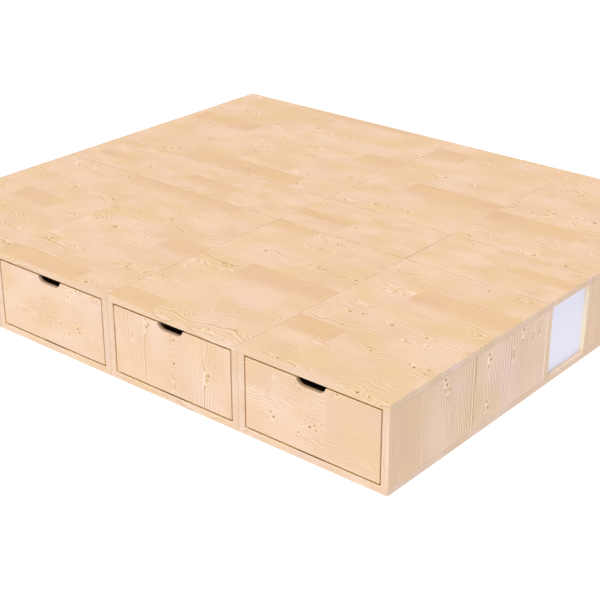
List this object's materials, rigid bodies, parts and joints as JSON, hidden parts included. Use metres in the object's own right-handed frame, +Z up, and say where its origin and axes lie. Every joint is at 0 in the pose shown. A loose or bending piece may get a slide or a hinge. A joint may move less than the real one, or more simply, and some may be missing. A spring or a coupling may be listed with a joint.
{
  "type": "storage bed",
  "caption": "Low platform storage bed of pale pine, a flat deck of jointed panels over drawer cases on both long sides, with inset drawers that have half-round finger cuts.",
  "frame": {"origin": "middle of the footprint, on the floor", "axes": "+X along the drawer fronts to the right as seen from the front, -Y out of the front drawers, +Z up"},
  "size_m": [1.9994, 1.75, 0.262],
  "materials": {
    "pine_top": "clear matt lacquer on finger-jointed pine staves",
    "pine_case": "clear matt lacquer on edge-glued pine",
    "pine_front": "clear matt lacquer on edge-glued pine",
    "pine_box": "planed pine, bare",
    "plywood": "sanded birch plywood",
    "beech": "planed beech, bare",
    "white_board": "white faced hardboard, satin",
    "steel": "zinc plated"
  },
  "bodies": {
    "carcase": {"front_top_panel_1": "pine_top", "front_top_panel_2": "pine_top", "front_top_panel_3": "pine_top", "front_top_panel_4": "pine_top", "rear_top_panel_1": "pine_top", "rear_top_panel_2": "pine_top", "rear_top_panel_3": "pine_top", "rear_top_panel_4": "pine_top", "strip_top_panel_1": "pine_top", "strip_top_panel_2": "pine_top", "strip_top_panel_3": "pine_top", "strip_top_panel_4": "pine_top", "front_side_panels": "pine_case", "front_bottom_panels": "pine_case", "front_back_boards": "white_board", "rear_side_panels": "pine_case", "rear_bottom_panels": "pine_case", "rear_back_boards": "white_board", "strip_uprights": "pine_case", "strip_bottom_panels": "pine_case", "strip_back_boards": "white_board", "case_dowels": "beech", "case_screws": "steel", "joining_bolts": "steel", "drawer_runners": "beech", "runner_screws": "steel"},
    "front_drawer_1": {"front_drawer_1_front": "pine_front", "front_drawer_1_sides": "pine_box", "front_drawer_1_back": "pine_box", "front_drawer_1_bottom": "plywood"},
    "front_drawer_2": {"front_drawer_2_front": "pine_front", "front_drawer_2_sides": "pine_box", "front_drawer_2_back": "pine_box", "front_drawer_2_bottom": "plywood"},
    "front_drawer_3": {"front_drawer_3_front": "pine_front", "front_drawer_3_sides": "pine_box", "front_drawer_3_back": "pine_box", "front_drawer_3_bottom": "plywood"},
    "front_drawer_4": {"front_drawer_4_front": "pine_front", "front_drawer_4_sides": "pine_box", "front_drawer_4_back": "pine_box", "front_drawer_4_bottom": "plywood"},
    "rear_drawer_1": {"rear_drawer_1_front": "pine_front", "rear_drawer_1_sides": "pine_box", "rear_drawer_1_back": "pine_box", "rear_drawer_1_bottom": "plywood"},
    "rear_drawer_2": {"rear_drawer_2_front": "pine_front", "rear_drawer_2_sides": "pine_box", "rear_drawer_2_back": "pine_box", "rear_drawer_2_bottom": "plywood"},
    "rear_drawer_3": {"rear_drawer_3_front": "pine_front", "rear_drawer_3_sides": "pine_box", "rear_drawer_3_back": "pine_box", "rear_drawer_3_bottom": "plywood"},
    "rear_drawer_4": {"rear_drawer_4_front": "pine_front", "rear_drawer_4_sides": "pine_box", "rear_drawer_4_back": "pine_box", "rear_drawer_4_bottom": "plywood"}
  },
  "joints": [
    {"name": "front_drawer_1_slide", "type": "slide", "parent": "carcase", "child": "front_drawer_1", "axis": [0, -1, 0], "range_m": [0, 0.5]},
    {"name": "front_drawer_2_slide", "type": "slide", "parent": "carcase", "child": "front_drawer_2", "axis": [0, -1, 0], "range_m": [0, 0.5]},
    {"name": "front_drawer_3_slide", "type": "slide", "parent": "carcase", "child": "front_drawer_3", "axis": [0, -1, 0], "range_m": [0, 0.5]},
    {"name": "front_drawer_4_slide", "type": "slide", "parent": "carcase", "child": "front_drawer_4", "axis": [0, -1, 0], "range_m": [0, 0.5]},
    {"name": "rear_drawer_1_slide", "type": "slide", "parent": "carcase", "child": "rear_drawer_1", "axis": [0, 1, 0], "range_m": [0, 0.5]},
    {"name": "rear_drawer_2_slide", "type": "slide", "parent": "carcase", "child": "rear_drawer_2", "axis": [0, 1, 0], "range_m": [0, 0.5]},
    {"name": "rear_drawer_3_slide", "type": "slide", "parent": "carcase", "child": "rear_drawer_3", "axis": [0, 1, 0], "range_m": [0, 0.5]},
    {"name": "rear_drawer_4_slide", "type": "slide", "parent": "carcase", "child": "rear_drawer_4", "axis": [0, 1, 0], "range_m": [0, 0.5]}
  ]
}
